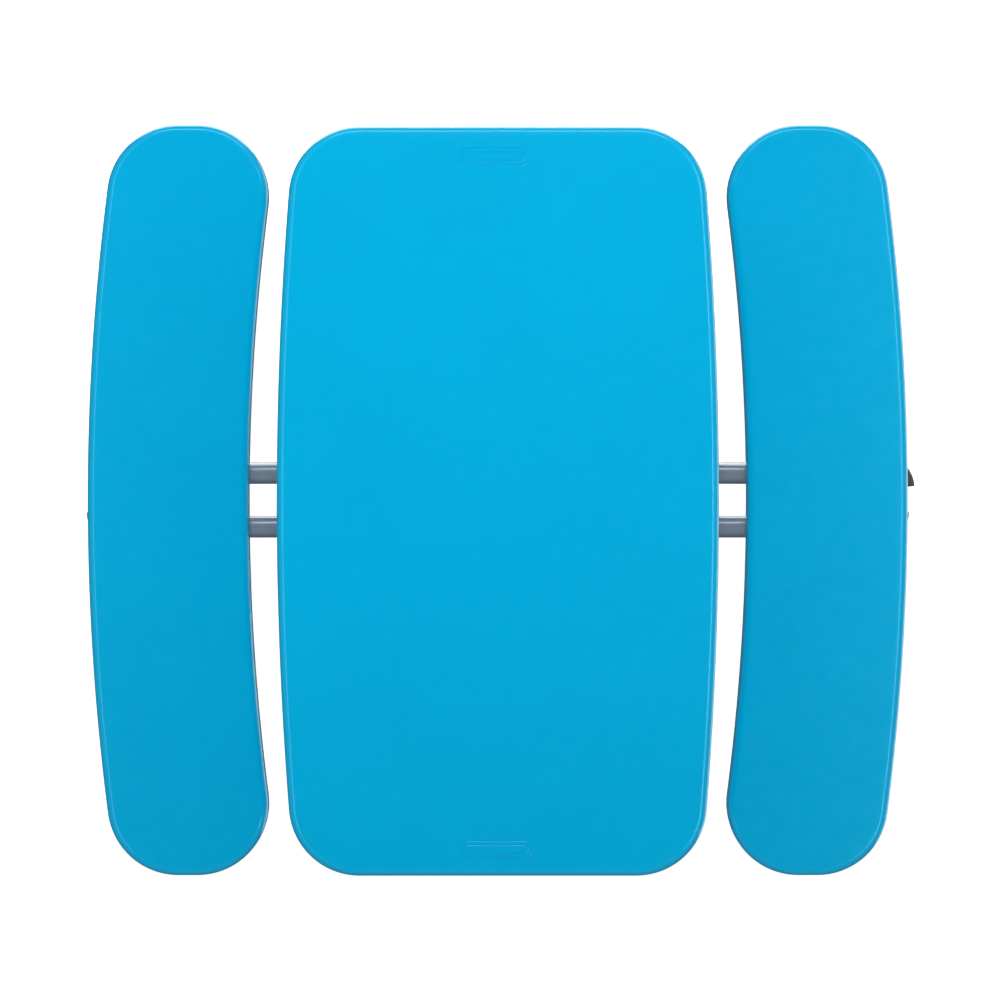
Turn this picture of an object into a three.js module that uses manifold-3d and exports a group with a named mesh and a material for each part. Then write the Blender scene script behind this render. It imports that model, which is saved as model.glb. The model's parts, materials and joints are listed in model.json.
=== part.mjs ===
// A children's folding picnic table: a bowed table top between two curved benches, on a steel frame.
// Two parallel beams join the benches. A scissor lift carries the table top, which drops level with
// the benches, and a hooped leg under each bench swings in flat below the beams.
// Millimetres, +X across from bench to bench, +Y along the benches, +Z up, origin on the floor.
import * as THREE from 'three';
import { mergeVertices } from 'three/addons/utils/BufferGeometryUtils.js';
import Module from 'manifold-3d';

const wasm = await Module();
wasm.setup();

// ---------- driving dimensions ----------
const FIT = 0.3; // clearance kept between parts that touch
const SEAT_HEIGHT = 300;
const TABLE_HEIGHT = 533;
const PANEL_THICKNESS = 38;
const PANEL_WALL = 3; // blow-moulded double wall
const PANEL_EDGE = 8; // rounding of a panel's rim
const RIM_WALL = 6; // thicker wall behind the rounded rim
const VENT_RADIUS = 4; // blow-pin hole that leaves each hollow panel open
const RIM_WIDTH = 20; // solid border round the recess under the table top
const RECESS_DEPTH = 20;

// Seen from above: corner is the radius of the round corners, and bow that of the long curved sides.
const TABLE = { halfLength: 391, halfWidth: 231, bow: 4100, corner: 74 };
const BENCH = { halfLength: 412, middle: 362, halfWidth: 88.5, bow: 2600, corner: 78 };

const BEAM = { radius: 12, wall: 1.5, halfLength: 430, y: 29.75, z: 250 };
const LEG = {
  radius: 11, wall: 1.5, hingeX: 385, hingeZ: 221, footX: 435, footZ: 14, halfWidth: 290, bend: 50,
};
const LEG_PIVOT = 304; // half the length of a leg's pivot tube
const SHEET = 3; // pressed steel thickness

const ARM = { length: 375, halfWidth: 9, thickness: 5, innerY: 115.5, outerY: 123.5 };
const PIN = 4; // rivets and slide pins
const SHAFT = 4.5; // cross shafts at the top of the scissor
const COLLAR = 2; // thickness of a collar pressed on a shaft
const FIXED_X = -180; // the scissor's fixed pins, below and above
const LOWER_Z = BEAM.z;
const UPPER_Z = TABLE_HEIGHT - PANEL_THICKNESS + 6;
const FOLD_DROP = 232.5; // how far the table top comes down

const LOCK = { x: 78, z: 227, radius: 4, halfLength: 141 };

const SCREW = 2.5; // shank radius of screws and beam rivets
const HEAD = 5.5;
const HEAD_HEIGHT = 2.6;
const BOSS_RADIUS = 7; // column inside a hollow panel that a screw bites into
const PEG = 4; // moulded pegs that hold a saddle to its bench

// ---------- worked-out sizes ----------
const benchBottom = SEAT_HEIGHT - PANEL_THICKNESS + FIT;
const tableBottom = TABLE_HEIGHT - PANEL_THICKNESS;
const recessCeiling = tableBottom + RECESS_DEPTH;
const plateTop = BEAM.z - BEAM.radius - FIT; // sheet steel under the beams
const plateBottom = plateTop - SHEET;
const raisedAngle = Math.asin((UPPER_Z - LOWER_Z) / ARM.length);
const foldedAngle = Math.asin((UPPER_Z - LOWER_Z - FOLD_DROP) / ARM.length);
const slideX = FIXED_X + ARM.length * Math.cos(raisedAngle);
const slideEndX = FIXED_X + ARM.length * Math.cos(foldedAngle);
const legLean = Math.atan2(LEG.footX - LEG.hingeX, LEG.hingeZ - LEG.footZ);
const legLength = Math.hypot(LEG.footX - LEG.hingeX, LEG.hingeZ - LEG.footZ);
const crankLength = BEAM.z - LOCK.z;
const clipX = LEG.hingeX - legLength; // where the folded foot bar lies
const topPlateTop = recessCeiling - FIT; // sheet steel under the table top
const throughBeams = [BEAM.z - 20, BEAM.z + 20];
const throughPlate = [plateBottom - 10, plateTop + 5];
const throughTopPlate = [topPlateTop - 10, topPlateTop + 1];

// ---------- materials ----------
const metal = (color, roughness) => new THREE.MeshStandardMaterial({ color, roughness, metalness: 0.6 });
const plastic = (color, roughness) => new THREE.MeshStandardMaterial({ color, roughness, metalness: 0 });
const bluePlastic = plastic(0x00acdf, 0.45);
const greySteel = metal(0x75828c, 0.4);
const blackPlastic = plastic(0x26282c, 0.55);
const zincSteel = metal(0xb4b8bb, 0.35);

// ---------- solids ----------
// A closed geometry as a solid for joining and cutting.
function solid(geometry) {
  const bare = geometry.clone();
  bare.deleteAttribute('normal');
  bare.deleteAttribute('uv');
  const merged = mergeVertices(bare, 1e-4);
  const corners = merged.index.array;
  const kept = [];
  for (let i = 0; i < corners.length; i += 3) {
    const [a, b, c] = [corners[i], corners[i + 1], corners[i + 2]];
    if (a !== b && b !== c && c !== a) kept.push(a, b, c);
  }
  const vertProperties = new Float32Array(merged.attributes.position.array);
  return new wasm.Manifold(new wasm.Mesh({ numProp: 3, vertProperties, triVerts: new Uint32Array(kept) }));
}

function geometryOf(manifold) {
  const mesh = manifold.getMesh();
  const geometry = new THREE.BufferGeometry();
  geometry.setAttribute('position', new THREE.BufferAttribute(mesh.vertProperties, 3));
  geometry.setIndex(new THREE.BufferAttribute(mesh.triVerts, 1));
  return geometry;
}

const join = (first, ...others) => others.reduce((sum, one) => sum.add(one), first);
const cut = (first, ...others) => others.reduce((rest, one) => rest.subtract(one), first);

const bothSides = (make) => join(make(1), make(-1));

function named(name, shape, material) {
  const geometry = shape.isBufferGeometry ? shape : geometryOf(shape);
  geometry.computeVertexNormals();
  const mesh = new THREE.Mesh(geometry, material);
  mesh.name = name;
  return mesh;
}

// An extrusion drawn in the XY plane, from z0 to z1.
function upright(shape, z0, z1, curveSegments = 6) {
  const geometry = new THREE.ExtrudeGeometry(shape, { depth: z1 - z0, bevelEnabled: false, curveSegments });
  return geometry.translate(0, 0, z0);
}

// An extrusion drawn in the XZ plane, from y0 to y1.
function sideways(shape, y0, y1, curveSegments = 8) {
  const geometry = new THREE.ExtrudeGeometry(shape, { depth: y1 - y0, bevelEnabled: false, curveSegments });
  return geometry.rotateX(Math.PI / 2).translate(0, y1, 0);
}

function block(x0, x1, y0, y1, z0, z1) {
  const geometry = new THREE.BoxGeometry(x1 - x0, y1 - y0, z1 - z0);
  return geometry.translate((x0 + x1) / 2, (y0 + y1) / 2, (z0 + z1) / 2);
}

// A round bar along one axis, between two stations on it, through (a, b) in the other two.
function bar(axis, radius, from, to, a, b, sides = 16) {
  const geometry = new THREE.CylinderGeometry(radius, radius, to - from, sides);
  const middle = (from + to) / 2;
  if (axis === 'x') return geometry.rotateZ(-Math.PI / 2).translate(middle, a, b);
  if (axis === 'y') return geometry.translate(a, middle, b);
  return geometry.rotateX(Math.PI / 2).translate(a, b, middle);
}

// A turned piece on the Z axis from a profile of [radius, z] points, which starts and ends on the axis.
function turned(profile, sides = 12) {
  const points = profile.map(([radius, z]) => new THREE.Vector2(radius, z));
  return new THREE.LatheGeometry(points, sides).rotateX(Math.PI / 2);
}

function disc(x, y, radius) {
  const shape = new THREE.Shape();
  shape.absarc(x, y, radius, 0, 2 * Math.PI);
  return shape;
}

function ring(radius, bore) {
  const shape = disc(0, 0, radius);
  shape.holes.push(new THREE.Path().absarc(0, 0, bore, 0, 2 * Math.PI, true));
  return shape;
}

// A slot of half-width r between (x0, y0) and (x1, y1).
function slot(x0, y0, x1, y1, r) {
  const along = Math.atan2(y1 - y0, x1 - x0);
  const shape = new THREE.Shape();
  shape.absarc(x1, y1, r, along - Math.PI / 2, along + Math.PI / 2);
  shape.absarc(x0, y0, r, along + Math.PI / 2, along + 1.5 * Math.PI);
  shape.closePath();
  return shape;
}

// A flat path of straights and bends, with its stations only where the tube needs them.
class BentPath extends THREE.Curve {
  constructor(points, normal) {
    super();
    this.points = points;
    this.normal = normal;
  }
  getPoint(t) {
    return this.points[Math.round(t * (this.points.length - 1))].clone();
  }
  getSpacedPoints() {
    return this.points.map((point) => point.clone());
  }
  computeFrenetFrames() {
    const last = this.points.length - 1;
    const tangents = this.points.map((_, i) =>
      this.points[Math.min(i + 1, last)].clone().sub(this.points[Math.max(i - 1, 0)]).normalize());
    const normals = tangents.map(() => this.normal.clone());
    const binormals = tangents.map((tangent) => tangent.clone().cross(this.normal).normalize());
    return { tangents, normals, binormals };
  }
}

function bentTube(points, normal, radius, wall, sides = 8) {
  const path = new BentPath(points, normal);
  return new THREE.ExtrudeGeometry(ring(radius, radius - wall), {
    extrudePath: path, steps: points.length - 1, bevelEnabled: false, curveSegments: sides,
  });
}

function straightTube(axis, radius, wall, from, to, a, b) {
  const outer = solid(bar(axis, radius, from, to, a, b, 24));
  return cut(outer, solid(bar(axis, radius - wall, from - 1, to + 1, a, b, 24)));
}

// ---------- panels ----------
const benchVent = [BENCH.middle, 150];
const tableVent = [0, 200];

// The table top's outline: two bowed sides, straight ends and round corners, drawn in by inset.
function tableOutline(inset) {
  const { halfLength, halfWidth, bow, corner } = TABLE;
  const centre = halfWidth - bow;
  const y = halfLength - corner;
  const x = centre + Math.sqrt((bow - corner) ** 2 - y ** 2);
  const turn = Math.atan2(y, x - centre);
  const [R, r] = [bow - inset, corner - inset];
  const shape = new THREE.Shape();
  shape.absarc(centre, 0, R, -turn, turn);
  shape.absarc(x, y, r, turn, Math.PI / 2);
  shape.absarc(-x, y, r, Math.PI / 2, Math.PI - turn);
  shape.absarc(-centre, 0, R, Math.PI - turn, Math.PI + turn);
  shape.absarc(-x, -y, r, Math.PI + turn, 1.5 * Math.PI);
  shape.absarc(x, -y, r, 1.5 * Math.PI, 2 * Math.PI - turn);
  return shape;
}

// The right-hand bench's outline: both long sides curve round the table.
function benchOutline(inset) {
  const { halfLength, middle, halfWidth, bow, corner } = BENCH;
  const centre = middle - bow;
  const y = halfLength - corner;
  const outerX = centre + Math.sqrt((bow + halfWidth - corner) ** 2 - y ** 2);
  const innerX = centre + Math.sqrt((bow - halfWidth + corner) ** 2 - y ** 2);
  const outerTurn = Math.atan2(y, outerX - centre);
  const innerTurn = Math.atan2(y, innerX - centre);
  const r = corner - inset;
  const shape = new THREE.Shape();
  shape.absarc(centre, 0, bow + halfWidth - inset, -outerTurn, outerTurn);
  shape.absarc(outerX, y, r, outerTurn, Math.PI / 2);
  shape.absarc(innerX, y, r, Math.PI / 2, Math.PI + innerTurn);
  shape.absarc(centre, 0, bow - halfWidth + inset, innerTurn, -innerTurn, true);
  shape.absarc(innerX, -y, r, Math.PI - innerTurn, 1.5 * Math.PI);
  shape.absarc(outerX, -y, r, 1.5 * Math.PI, 2 * Math.PI - outerTurn);
  return shape;
}

// A slab between z0 and z1 with its rims rounded.
function slab(outline, z0, z1) {
  const geometry = new THREE.ExtrudeGeometry(outline(PANEL_EDGE), {
    depth: z1 - z0 - 2 * PANEL_EDGE, curveSegments: 5,
    bevelThickness: PANEL_EDGE, bevelSize: PANEL_EDGE, bevelSegments: 3,
  });
  return solid(geometry.translate(0, 0, z0 + PANEL_EDGE));
}

// Punches a round hole at each place through everything between two heights.
const punched = (shape, places, z0, z1, radius = SCREW + FIT) =>
  cut(shape, ...places.map(([x, y]) => solid(bar('z', radius, z0, z1, x, y, 12))));

const bosses = (places, z0, z1) => places.map(([x, y]) => solid(bar('z', BOSS_RADIUS, z0, z1, x, y, 12)));

function benchPanel() {
  const skin = slab(benchOutline, benchBottom, SEAT_HEIGHT);
  const hollow = cut(
    solid(upright(benchOutline(RIM_WALL), benchBottom + PANEL_WALL, SEAT_HEIGHT - PANEL_WALL, 5)),
    ...bosses(benchScrews, benchBottom, SEAT_HEIGHT));
  const holed = punched(cut(skin, hollow), benchScrews, benchBottom - 1, SEAT_HEIGHT - PANEL_WALL);
  const pegged = punched(holed, saddlePegs, benchBottom - 1, benchBottom + 2 * PANEL_WALL, PEG + FIT);
  return punched(pegged, [benchVent], benchBottom - 1, benchBottom + 2 * PANEL_WALL, VENT_RADIUS);
}

function tablePanel() {
  const skin = slab(tableOutline, tableBottom, TABLE_HEIGHT);
  const recess = solid(upright(tableOutline(RIM_WIDTH), tableBottom - 1, recessCeiling, 5));
  const hollow = cut(
    solid(upright(tableOutline(RIM_WALL), tableBottom + PANEL_WALL, TABLE_HEIGHT - PANEL_WALL, 5)),
    solid(upright(tableOutline(RIM_WIDTH - PANEL_WALL), tableBottom, recessCeiling + PANEL_WALL, 5)),
    ...bosses(tableScrews, recessCeiling, TABLE_HEIGHT));
  const holed = punched(cut(skin, recess, hollow), tableScrews, recessCeiling - 1, TABLE_HEIGHT - PANEL_WALL);
  return punched(holed, [tableVent], recessCeiling - 1, recessCeiling + 2 * PANEL_WALL, VENT_RADIUS);
}

// ---------- fasteners ----------
// A screw pointing up with a domed head, its bearing face at z.
function screw([x, y], z, length) {
  const profile = [
    [0, -HEAD_HEIGHT], [HEAD * 0.6, -HEAD_HEIGHT * 0.8], [HEAD, 0],
    [SCREW, 0], [SCREW, length - 3], [0, length],
  ];
  return turned(profile, 12).translate(x, y, z);
}

// A rivet on the Z axis, from z0 to z1 between its two heads, with a wider shoulder if it needs one.
function rivet(z0, z1, radius, head, shoulder = []) {
  const thick = 2;
  return turned([
    [0, z0 - thick], [head - 1, z0 - thick], [head, z0], [radius, z0], ...shoulder,
    [radius, z1], [head, z1], [head - 1, z1 + thick], [0, z1 + thick],
  ]);
}

// Turns a piece from the Z axis onto the Y axis at (x, z).
const acrossAt = (geometry, x, z) => geometry.rotateX(-Math.PI / 2).translate(x, 0, z);

// A rear piece and its mirror image at the front, as two nodes.
function frontAndRear(name, rear, material) {
  return [named(`rear_${name}`, rear, material), named(`front_${name}`, rear.mirror([0, 1, 0]), material)];
}

const oneEach = (name, places, make, material) =>
  places.map((place, i) => named(`${name}_${i + 1}`, make(place), material));

// ---------- base frame ----------
const CRANK_WINDOW = { x0: 70, x1: 100, halfWidth: 3 };
const EAR = { radius: 15, y: 46 }; // the tabs that carry a leg's pivot tube, by their inner faces
const END_PLATE = { inner: 284, outer: 434, halfWidth: EAR.y + SHEET, corner: 10 };
const LOBE = { reach: 457, y: -13.7 }; // the round corner of an end plate that shows past its bench
const SADDLE = { y: 215, halfWidth: 12, reach: 38, neck: 20, cup: 17, flange: 6, pegSpacing: 58 };
const CLIP = { halfWidth: 11, wall: 2.7, mouth: 0.35, stem: 3 }; // mouth in radians below the level line
const beamRivets = [[-158, BEAM.y], [-158, -BEAM.y], [57, BEAM.y], [130, -BEAM.y]];
const benchScrews = [[300, 0], [424, 0]];
const saddlePegs = [1, -1].flatMap((end) =>
  [-0.5, 0.5].map((half) => [LEG.hingeX + half * SADDLE.pegSpacing, end * SADDLE.y]));

function frontBeam() {
  const tube = straightTube('x', BEAM.radius, BEAM.wall, -BEAM.halfLength, BEAM.halfLength, -BEAM.y, BEAM.z);
  return punched(tube, beamRivets, ...throughBeams);
}

// The rear beam also has a slot underneath for the crank of the lock.
function rearBeam() {
  const tube = straightTube('x', BEAM.radius, BEAM.wall, -BEAM.halfLength, BEAM.halfLength, BEAM.y, BEAM.z);
  const { x0, x1, halfWidth } = CRANK_WINDOW;
  const opening = block(x0, x1, BEAM.y - halfWidth, BEAM.y + halfWidth, BEAM.z - BEAM.radius - 1, BEAM.z);
  return punched(cut(tube, solid(opening)), beamRivets, ...throughBeams);
}

const beamRivet = ([x, y]) =>
  rivet(plateBottom - FIT, BEAM.z + BEAM.radius + FIT, SCREW, HEAD).translate(x, y, 0);

// A push-in plug with a domed face, pointing along +X from the end of a tube at the origin.
function plug(tubeRadius, wall) {
  const inside = tubeRadius - wall - FIT;
  const [depth, rim, dome] = [14, 1.8, 3.6];
  return turned([
    [0, -depth], [inside - 1, -depth], [inside, 2 - depth], [inside, FIT], [tubeRadius, FIT],
    [tubeRadius, rim], [tubeRadius - 2, (rim + dome) / 2], [0, dome],
  ], 16).rotateY(Math.PI / 2);
}

// The rear beam's right end has the release handle in place of a plug.
function beamPlugs() {
  const right = () => plug(BEAM.radius, BEAM.wall).translate(BEAM.halfLength, -BEAM.y, BEAM.z);
  const left = (y) => plug(BEAM.radius, BEAM.wall).rotateZ(Math.PI).translate(-BEAM.halfLength, y, BEAM.z);
  return [
    named('left_rear_beam_plug', left(BEAM.y), blackPlastic),
    named('left_front_beam_plug', left(-BEAM.y), blackPlastic),
    named('right_front_beam_plug', right(), blackPlastic),
  ];
}

// A tab of sheet steel in the XZ plane that carries a pin at (x, z), reaching to height zEnd.
function ear(x, z, radius, zEnd, bore) {
  const shape = new THREE.Shape();
  const side = zEnd > z ? 1 : -1; // counter-clockwise, whichever way the tab points
  const start = zEnd > z ? Math.PI : 0;
  shape.absarc(x, z, radius, start, start + Math.PI);
  shape.lineTo(x + side * radius, zEnd);
  shape.lineTo(x - side * radius, zEnd);
  shape.closePath();
  shape.holes.push(new THREE.Path().absarc(x, z, bore, 0, 2 * Math.PI, true));
  return shape;
}

// A piece of sheet standing at y, and its twin at -y.
const standing = (shape, y) =>
  bothSides((side) => solid(sideways(shape, side * y - SHEET / 2, side * y + SHEET / 2)));

// Sheet steel under the outer ends of the beams. Its two ears carry the leg's pivot tube, and its
// front corner is a round lobe that reaches past the bench.
function endBracket() {
  const { inner, outer, halfWidth, corner } = END_PLATE;
  const lobeRadius = halfWidth + LOBE.y;
  const shape = new THREE.Shape();
  shape.absarc(LOBE.reach - lobeRadius, LOBE.y, lobeRadius, -Math.PI / 2, 0);
  shape.lineTo(outer, LOBE.y);
  shape.absarc(outer - corner, halfWidth - corner, corner, 0, Math.PI / 2);
  shape.absarc(inner + corner, halfWidth - corner, corner, Math.PI / 2, Math.PI);
  shape.absarc(inner + corner, corner - halfWidth, corner, Math.PI, 1.5 * Math.PI);
  shape.closePath();
  const plate = solid(upright(shape, plateBottom, plateTop));
  const hinge = ear(LEG.hingeX, LEG.hingeZ, EAR.radius, plateTop - 1, LEG.radius + FIT);
  return punched(join(plate, standing(hinge, EAR.y + SHEET / 2)), benchScrews, ...throughPlate);
}

// A moulded block under the bench that the pivot tube turns in, held by two barbed pegs.
function saddle(end) {
  const [x, z] = [LEG.hingeX, LEG.hingeZ];
  const { halfWidth, reach, neck, cup, flange } = SADDLE;
  const top = benchBottom - FIT;
  const shape = new THREE.Shape();
  shape.moveTo(x - reach, top);
  shape.lineTo(x - reach, top - flange);
  shape.lineTo(x - neck, top - flange);
  shape.absarc(x, z, cup, Math.PI, 2 * Math.PI);
  shape.lineTo(x + neck, top - flange);
  shape.lineTo(x + reach, top - flange);
  shape.lineTo(x + reach, top);
  shape.closePath();
  shape.holes.push(new THREE.Path().absarc(x, z, LEG.radius + FIT, 0, 2 * Math.PI, true));
  const y = end * SADDLE.y;
  const body = solid(sideways(shape, y - halfWidth, y + halfWidth));
  const pegProfile = [[0, -2], [PEG, -2], [PEG, 4], [PEG + 1.2, 4.3], [PEG - 1, 9], [0, 9]];
  const pegs = saddlePegs.filter((place) => place[1] === y)
    .map(([pegX, pegY]) => solid(turned(pegProfile, 12).translate(pegX, pegY, top)));
  return join(body, ...pegs);
}

// Everything fixed under one bench. The left side is the right side mirrored.
function benchEnd(side) {
  const group = new THREE.Group();
  group.add(named(`${side}_bench`, benchPanel(), bluePlastic));
  group.add(named(`${side}_end_bracket`, endBracket(), greySteel));
  group.add(named(`${side}_rear_saddle`, saddle(1), blackPlastic));
  group.add(named(`${side}_front_saddle`, saddle(-1), blackPlastic));
  const benchScrew = (place) => screw(place, plateBottom - FIT, 50);
  group.add(...oneEach(`${side}_bench_screw`, benchScrews, benchScrew, zincSteel));
  return group;
}

// ---------- scissor seats on the beams ----------
const PIVOT_PLATE = { x0: FIXED_X - 20, x1: -146, earY: 111.5 };
const TRAY = { x0: 46, wallStart: 84, wallTop: 260, wallY: 132.5, corner: 5, lockTabY: 58.5 };
const TRAY_HOLE = { x0: 104, x1: 186, y: 88, radius: 18 }; // the two lightening slots

// A plate under the beams with an upturned ear at each end for the inner arms' fixed pins.
function pivotBracket() {
  const { x0, x1, earY } = PIVOT_PLATE;
  const halfWidth = earY + SHEET / 2;
  const plate = solid(block(x0, x1, -halfWidth, halfWidth, plateBottom, plateTop));
  const tab = ear(FIXED_X, LOWER_Z, 11, plateBottom + 1, PIN + FIT);
  const bracket = punched(join(plate, standing(tab, earY)), beamRivets, ...throughPlate);
  return punched(bracket, [[-clipX, 0]], ...throughPlate, CLIP.stem + FIT);
}

// A pan under the beams whose slotted sides guide the outer arms' feet, with two tabs below it for
// the lock shaft and a window for the crank.
function slideTray() {
  const { wallStart, wallTop, wallY, corner } = TRAY;
  const x1 = slideEndX + 14;
  const halfWidth = wallY + SHEET / 2;
  const plate = solid(block(TRAY.x0, x1, -halfWidth, halfWidth, plateBottom, plateTop));
  const wall = new THREE.Shape();
  wall.moveTo(wallStart, plateBottom);
  wall.lineTo(x1, plateBottom);
  wall.absarc(x1 - corner, wallTop - corner, corner, 0, Math.PI / 2);
  wall.absarc(wallStart + corner, wallTop - corner, corner, Math.PI / 2, Math.PI);
  wall.closePath();
  const track = solid(sideways(slot(slideX - 0.5, LOWER_Z, slideEndX + 0.5, LOWER_Z, PIN + FIT), -200, 200));
  const tab = ear(LOCK.x, LOCK.z, 8, plateTop - 1, LOCK.radius + FIT);
  const window = solid(block(CRANK_WINDOW.x0, CRANK_WINDOW.x1, BEAM.y - 5, BEAM.y + 5, ...throughPlate));
  const lightening = [TRAY_HOLE.y, -TRAY_HOLE.y].map((y) =>
    solid(upright(slot(TRAY_HOLE.x0, y, TRAY_HOLE.x1, y, TRAY_HOLE.radius), ...throughPlate)));
  const pan = join(plate, standing(wall, wallY), standing(tab, TRAY.lockTabY));
  const slotted = cut(pan, track, window, ...lightening);
  return punched(punched(slotted, beamRivets, ...throughPlate), [[clipX, 0]], ...throughPlate, CLIP.stem + FIT);
}

// A snap clip for the folded leg's foot bar, open downwards, with a stem through the plate above it.
function legClip() {
  const { halfWidth, wall, mouth, stem } = CLIP;
  const inner = LEG.radius + FIT;
  const outer = inner + wall;
  const shape = new THREE.Shape();
  shape.absarc(0, 0, outer, -mouth, Math.PI + mouth);
  shape.absarc(0, 0, inner, Math.PI + mouth, -mouth, true);
  shape.closePath();
  const jaws = solid(sideways(shape, -halfWidth, halfWidth, 8).translate(clipX, 0, LEG.hingeZ));
  const [left, right] = [clipX - 2 * outer, clipX + 2 * outer];
  const above = block(left, right, -20, 20, plateBottom - FIT, LEG.hingeZ + 2 * outer);
  const shoulder = SHEET + 2 * FIT;
  const barb = turned([
    [0, -2], [stem, -2], [stem, shoulder], [stem + 1.5, shoulder + 0.2],
    [stem - 1, SHEET + 4], [0, SHEET + 4],
  ], 12);
  return join(cut(jaws, solid(above)), solid(barb.translate(clipX, 0, plateBottom - FIT)));
}

// ---------- scissor lift ----------
const RAIL_Y = 110.5; // the slotted walls under the table that guide the upper slide shaft
const BUSH = { radius: 7.5, flange: 9.5 };
const TABLE_EAR_Y = 132.5; // the tabs under the table that carry the upper pivot shaft

// A flat bar from the origin along +X in the XZ plane, holed at both ends and in the middle.
function armBar(y0, nearBore, farBore) {
  const shape = slot(0, 0, ARM.length, 0, ARM.halfWidth);
  const bores = [[0, nearBore], [ARM.length / 2, PIN + FIT], [ARM.length, farBore]];
  for (const [x, bore] of bores) shape.holes.push(new THREE.Path().absarc(x, 0, bore, 0, 2 * Math.PI, true));
  return solid(sideways(shape, y0, y0 + ARM.thickness, 5));
}

// A shaft right across the scissor with a collar pressed on near each end.
function crossShaft(x, z, halfLength, collarY) {
  const shaft = solid(bar('y', SHAFT, -halfLength, halfLength, x, z));
  const collar = (from) => solid(bar('y', SHAFT + 2.5, from, from + COLLAR, x, z));
  return join(shaft, collar(collarY), collar(-collarY - COLLAR));
}

// The two arms that turn on the base's fixed pins and carry a shaft that slides under the table.
function innerArms() {
  const group = new THREE.Group();
  group.position.set(FIXED_X, 0, LOWER_Z);
  group.rotation.y = -raisedAngle;
  const inside = ARM.innerY;
  const outside = ARM.innerY + ARM.thickness;
  const bush = cut(
    join(
      solid(bar('y', BUSH.radius, RAIL_Y - 2, RAIL_Y + 2, ARM.length, 0)),
      solid(bar('y', BUSH.flange, RAIL_Y + SHEET / 2 + FIT, inside - FIT, ARM.length, 0))),
    solid(bar('y', SHAFT + FIT, RAIL_Y - 10, inside, ARM.length, 0)));
  const shoulder = [[PIN, outside], [PIN + 3, outside + FIT], [PIN + 3, ARM.outerY - FIT], [PIN, ARM.outerY]];
  const crossRivet = acrossAt(
    rivet(inside - FIT, ARM.outerY + ARM.thickness + FIT, PIN, 7, shoulder), ARM.length / 2, 0);
  group.add(...frontAndRear('inner_arm', armBar(inside, PIN + FIT, SHAFT + FIT), greySteel));
  group.add(named('upper_slide_shaft', crossShaft(ARM.length, 0, outside + 1, outside + FIT), zincSteel));
  group.add(...frontAndRear('slide_bush', bush, blackPlastic));
  group.add(...frontAndRear('cross_rivet', solid(crossRivet), zincSteel));
  return group;
}

// The two arms that hang from the table's fixed shaft and slide along the tray on their own pins.
function outerArms() {
  const group = new THREE.Group();
  group.position.set(FIXED_X, 0, UPPER_Z);
  group.rotation.y = raisedAngle;
  const inside = ARM.outerY;
  const outside = ARM.outerY + ARM.thickness;
  const end = TRAY.wallY + 9.5;
  const slidePin = turned([
    [0, inside - 2.3], [6, inside - 2.3], [7, inside - FIT], [PIN, inside - FIT],
    [PIN, outside + FIT], [PIN + 1.5, outside + FIT], [PIN + 1.5, outside + 1.8], [PIN, outside + 1.8],
    [PIN, end - 1], [PIN - 1, end], [0, end],
  ]);
  const pivotShaft = crossShaft(0, 0, TABLE_EAR_Y + 4.5, TABLE_EAR_Y + SHEET / 2 + FIT);
  group.add(...frontAndRear('outer_arm', armBar(inside, SHAFT + FIT, PIN + FIT), greySteel));
  group.add(named('upper_pivot_shaft', pivotShaft, zincSteel));
  group.add(...frontAndRear('lower_slide_pin', solid(acrossAt(slidePin, ARM.length, 0)), zincSteel));
  return group;
}

// ---------- table top ----------
const tableScrews = [[FIXED_X, 80], [FIXED_X, -80], [148, 70], [148, -70]];

// A strap across the recess with a tab at each end for the upper pivot shaft.
function topPivotBracket() {
  const halfWidth = TABLE_EAR_Y + SHEET / 2;
  const [x0, x1] = [FIXED_X - 14, FIXED_X + 16];
  const plate = solid(block(x0, x1, -halfWidth, halfWidth, topPlateTop - SHEET, topPlateTop));
  const tab = ear(FIXED_X, UPPER_Z, 10, topPlateTop - 1, SHAFT + FIT);
  return punched(join(plate, standing(tab, TABLE_EAR_Y)), tableScrews, ...throughTopPlate);
}

// A plate in the recess with two slotted walls that guide the bushes of the upper slide shaft.
function topSlideBracket() {
  const [x0, x1, corner] = [slideX - 14, slideEndX + 12, 6];
  const halfWidth = RAIL_Y + SHEET / 2;
  const plate = solid(block(x0, x1, -halfWidth, halfWidth, topPlateTop - SHEET, topPlateTop));
  const wall = new THREE.Shape();
  wall.absarc(x0 + corner, UPPER_Z - corner, corner, Math.PI, 1.5 * Math.PI);
  wall.absarc(x1 - corner, UPPER_Z - corner, corner, 1.5 * Math.PI, 2 * Math.PI);
  wall.lineTo(x1, topPlateTop);
  wall.lineTo(x0, topPlateTop);
  wall.closePath();
  const path = slot(slideX - 0.5, UPPER_Z, slideEndX + 0.5, UPPER_Z, BUSH.radius + FIT);
  const track = solid(sideways(path, -200, 200));
  const lightening = solid(upright(slot(x0 + 36, 0, x1 - 44, 0, 16), ...throughTopPlate));
  const bracket = cut(join(plate, standing(wall, RAIL_Y)), track, lightening);
  return punched(bracket, tableScrews, ...throughTopPlate);
}

function tableTop() {
  const group = new THREE.Group();
  const tableScrew = (place) => screw(place, recessCeiling - SHEET - 2 * FIT, 14);
  group.add(named('table_top', tablePanel(), bluePlastic));
  group.add(named('top_pivot_bracket', topPivotBracket(), greySteel));
  group.add(named('top_slide_bracket', topSlideBracket(), greySteel));
  group.add(...oneEach('table_screw', tableScrews, tableScrew, zincSteel));
  return group;
}

// ---------- legs ----------
const STOP = { start: 2, end: 19, halfWidth: 18, thickness: 5 }; // the tab on the pivot tube, from its axis
const PAD = { y: 190, halfWidth: 24, opening: Math.PI / 3, footTurn: 0.28 * Math.PI };

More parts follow.
